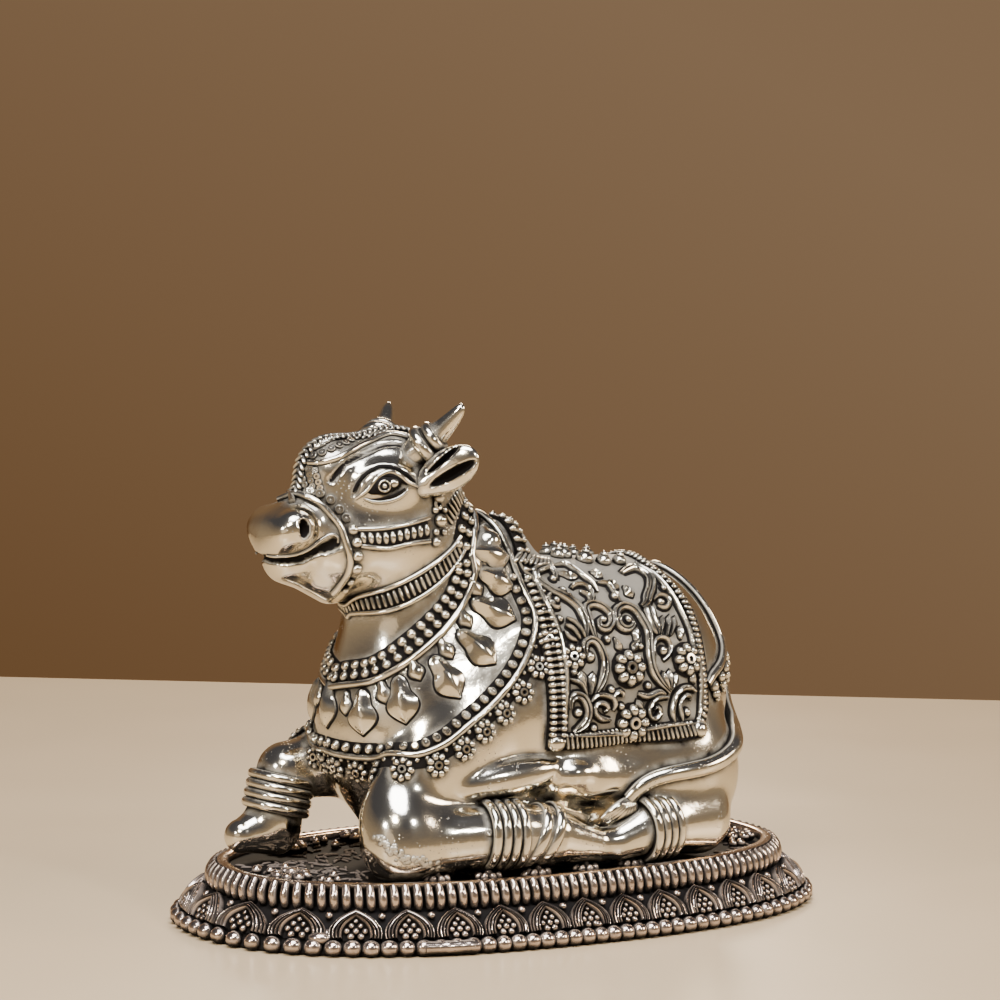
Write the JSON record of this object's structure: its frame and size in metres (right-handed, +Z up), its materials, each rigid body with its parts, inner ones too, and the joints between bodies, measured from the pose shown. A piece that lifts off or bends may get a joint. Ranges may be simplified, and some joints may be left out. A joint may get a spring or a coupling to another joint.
{
  "type": "reclining nandi bull figure on an oval lotus plinth",
  "caption": "Small cast metal figure of a reclining bull dressed in necklaces, harness and saddle cloth, on a separate oval plinth with lotus petals, reeds and beads.",
  "frame": {"origin": "middle of the plinth's underside, on the surface that it stands on", "axes": "+Z up, the bull faces -X, its left side is at -Y; the plinth is longest along X"},
  "size_m": [0.1016, 0.0584, 0.0737],
  "materials": {
    "bull_silver": "bright silver coloured cast metal, polished on the high places and blackened in the recesses",
    "plinth_silver": "silver coloured cast metal with slightly coppery high places, blackened in the recesses"
  },
  "bodies": {
    "root": {"nandi_bull": "bull_silver", "oval_plinth": "plinth_silver"}
  },
  "joints": []
}
